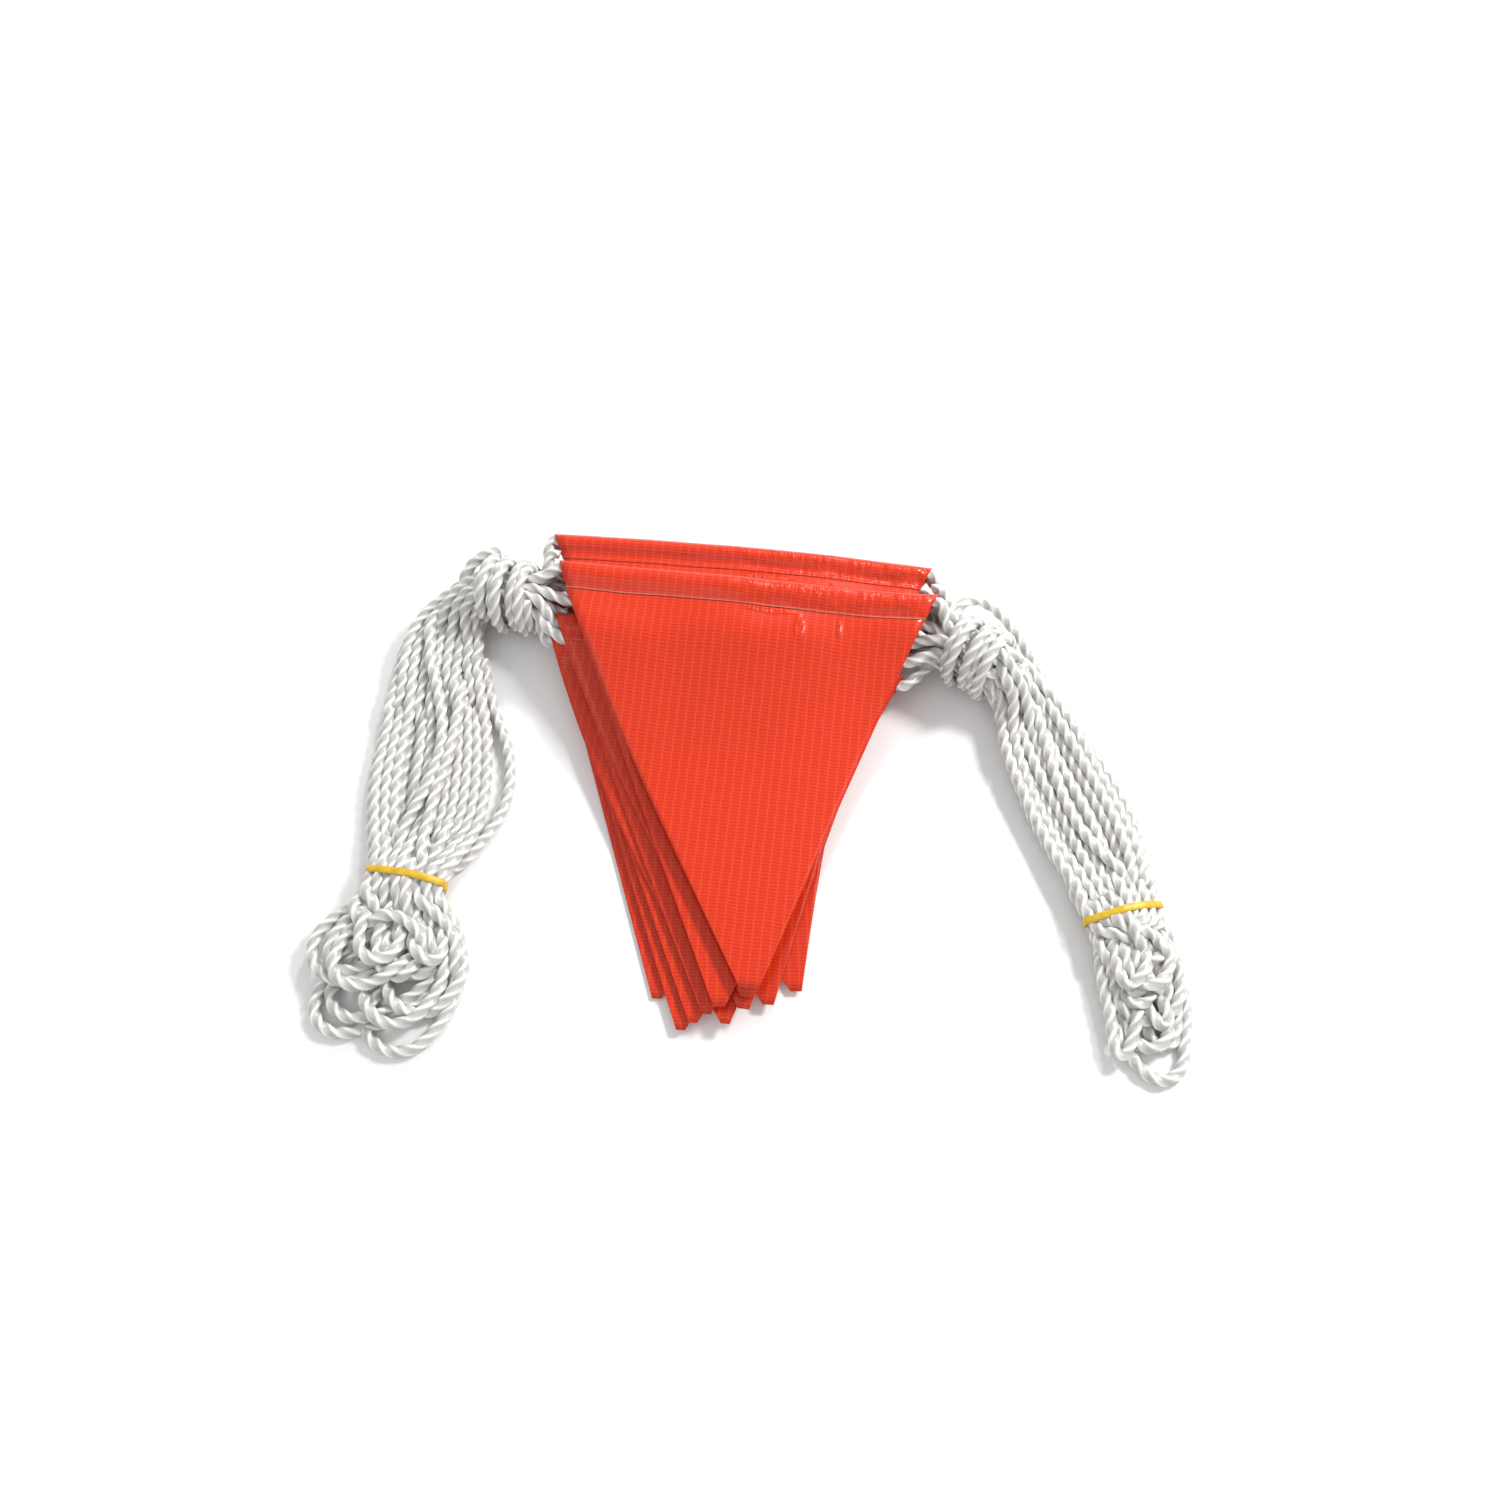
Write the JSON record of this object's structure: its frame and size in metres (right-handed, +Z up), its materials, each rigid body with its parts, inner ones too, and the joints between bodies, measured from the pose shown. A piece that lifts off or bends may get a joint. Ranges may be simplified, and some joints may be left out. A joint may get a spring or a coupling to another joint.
{
  "type": "string of plastic bunting, stacked and tied in two hanks",
  "caption": "Orange plastic pennants stacked flat on one white rope, which is gathered at each side into a knotted hank with a rubber band.",
  "frame": {"origin": "on the surface that it lies on, below the middle of the whole thing's box", "axes": "+Z up, +X to the right along the hems and across both hanks, +Y away from the tips"},
  "size_m": [0.4, 0.272, 0.0413],
  "materials": {
    "cloth": "orange-red PVC-coated scrim, woven weft dashes showing through, soft gloss",
    "rope": "white laid polypropylene rope, three strands, satin sheen",
    "rubber_band": "amber natural rubber, slightly translucent"
  },
  "bodies": {
    "root": {"flag_01": "cloth", "flag_02": "cloth", "flag_03": "cloth", "flag_04": "cloth", "flag_05": "cloth", "flag_06": "cloth", "flag_07": "cloth", "flag_08": "cloth", "flag_09": "cloth", "flag_10": "cloth", "flag_11": "cloth", "flag_12": "cloth", "flag_13": "cloth", "flag_14": "cloth", "flag_15": "cloth", "flag_16": "cloth", "hank_left": "rope", "hank_right": "rope", "band_left": "rubber_band", "band_right": "rubber_band"}
  },
  "joints": []
}
